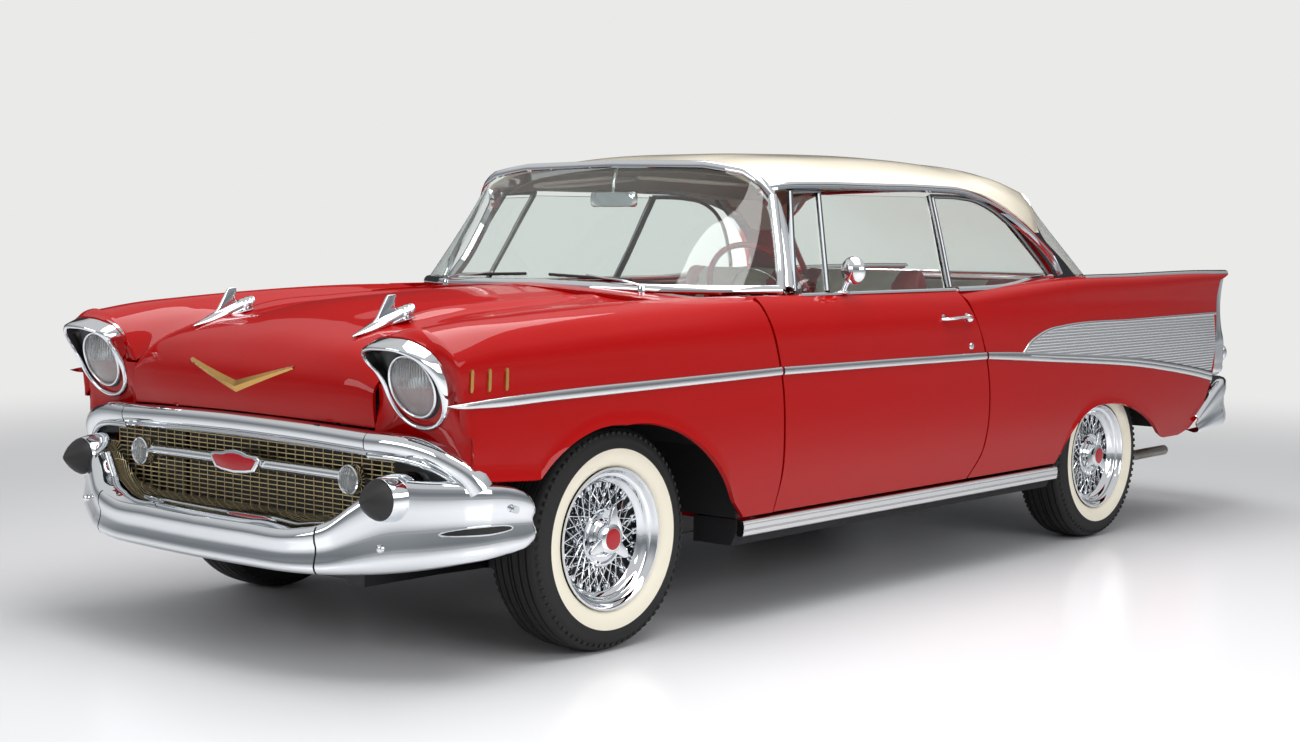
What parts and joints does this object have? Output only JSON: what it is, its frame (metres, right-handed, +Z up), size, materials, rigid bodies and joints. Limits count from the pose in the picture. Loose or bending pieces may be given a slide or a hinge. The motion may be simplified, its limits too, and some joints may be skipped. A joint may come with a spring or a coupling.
{
  "type": "classic car",
  "caption": "Two-door hardtop passenger car with tail fins, opening hood, doors and trunk lid, steered front wheels and free-turning wire wheels.",
  "frame": {"origin": "on the ground, midway between the sides and between the bumper ends", "axes": "+X to the left side of the car, +Y to its rear, +Z up"},
  "size_m": [1.8558, 5.08, 1.505],
  "materials": {
    "red_paint": "gloss enamel",
    "cream_paint": "gloss enamel",
    "chrome": "bright plated",
    "glass": "tinted green",
    "lamp_glass": "fluted clear",
    "red_lens": "moulded lens",
    "black_rubber": "moulded",
    "gold": "gold anodised",
    "black_paint": "satin chassis paint",
    "engine_iron": "engine enamel",
    "spring_steel": "dark",
    "steel": "plain",
    "dash_paint": "semi-gloss",
    "red_plastic": "gloss",
    "seat_fabric": "vinyl and cloth",
    "tyre_rubber": "whitewall tyre"
  },
  "bodies": {
    "body": {"body_trims": "chrome", "bumper_bullets": "black_rubber", "cowl": "red_paint", "dashboard": "dash_paint", "engine": "engine_iron", "exhaust": "steel", "fender_left": "red_paint", "fender_right": "red_paint", "floor_pan": "black_paint", "frame_rails": "black_paint", "front_bumper": "chrome", "front_lamps": "lamp_glass", "front_seat": "seat_fabric", "front_suspension": "black_paint", "fuel_tank": "steel", "grille_bars": "chrome", "grille_mesh": "gold", "headlight_bezels": "chrome", "leaf_springs": "spring_steel", "quarter_glass": "glass", "quarter_left": "red_paint", "quarter_right": "red_paint", "radiator": "black_paint", "rear_axle": "black_paint", "rear_bumper": "chrome", "rear_deck": "red_paint", "rear_seat": "seat_fabric", "rear_window": "glass", "roof": "cream_paint", "steering_column": "dash_paint", "tail_lamps": "red_lens", "wheelhouses": "black_paint", "windshield": "glass", "windshield_frame": "chrome"},
    "hood": {"hood": "red_paint", "hood_ornaments": "chrome"},
    "trunk_lid": {"trunk_lid": "red_paint"},
    "door_left": {"door_left": "red_paint", "door_glass_left": "glass", "door_trim_left": "chrome"},
    "door_right": {"door_right": "red_paint", "door_glass_right": "glass", "door_trim_right": "chrome"},
    "knuckle_left": {"knuckle_left": "black_paint"},
    "knuckle_right": {"knuckle_right": "black_paint"},
    "steering_wheel": {"steering_wheel": "red_plastic"},
    "wheel_front_left": {"tyre_front_left": "tyre_rubber", "wheel_front_left": "chrome"},
    "wheel_front_right": {"tyre_front_right": "tyre_rubber", "wheel_front_right": "chrome"},
    "wheel_rear_left": {"tyre_rear_left": "tyre_rubber", "wheel_rear_left": "chrome"},
    "wheel_rear_right": {"tyre_rear_right": "tyre_rubber", "wheel_rear_right": "chrome"}
  },
  "joints": [
    {"name": "steer_left", "type": "hinge", "parent": "body", "child": "knuckle_left", "pos_m": [0.61, -1.672, 0.33], "axis": [0, 0, 1], "range_deg": [-32, 32]},
    {"name": "steer_right", "type": "hinge", "parent": "body", "child": "knuckle_right", "pos_m": [-0.61, -1.672, 0.33], "axis": [0, 0, 1], "range_deg": [-32, 32]},
    {"name": "steering_wheel_turn", "type": "hinge", "parent": "body", "child": "steering_wheel", "pos_m": [0.375, -0.4, 0.98], "axis": [0, 0.891, 0.454], "range_deg": [-640, 640]},
    {"name": "spin_front_left", "type": "hinge", "parent": "knuckle_left", "child": "wheel_front_left", "pos_m": [0.738, -1.672, 0.33], "axis": [1, 0, 0], "continuous": true},
    {"name": "spin_front_right", "type": "hinge", "parent": "knuckle_right", "child": "wheel_front_right", "pos_m": [-0.738, -1.672, 0.33], "axis": [1, 0, 0], "continuous": true},
    {"name": "spin_rear_left", "type": "hinge", "parent": "body", "child": "wheel_rear_left", "pos_m": [0.738, 1.249, 0.33], "axis": [1, 0, 0], "continuous": true},
    {"name": "spin_rear_right", "type": "hinge", "parent": "body", "child": "wheel_rear_right", "pos_m": [-0.738, 1.249, 0.33], "axis": [1, 0, 0], "continuous": true},
    {"name": "door_left_hinge", "type": "hinge", "parent": "body", "child": "door_left", "pos_m": [0.9, -0.9, 0.62], "axis": [0, 0, -1], "range_deg": [0, 62]},
    {"name": "door_right_hinge", "type": "hinge", "parent": "body", "child": "door_right", "pos_m": [-0.9, -0.9, 0.62], "axis": [0, 0, 1], "range_deg": [0, 62]},
    {"name": "hood_hinge", "type": "hinge", "parent": "body", "child": "hood", "pos_m": [0, -1.27, 1.046], "axis": [-1, 0, 0], "range_deg": [0, 52]},
    {"name": "trunk_hinge", "type": "hinge", "parent": "body", "child": "trunk_lid", "pos_m": [0, 1.716, 1.014], "axis": [1, 0, 0], "range_deg": [0, 60]}
  ],
  "couplings": [
    {"joint": "steer_right", "follows": "steer_left", "ratio": 1},
    {"joint": "steering_wheel_turn", "follows": "steer_left", "ratio": 18}
  ]
}
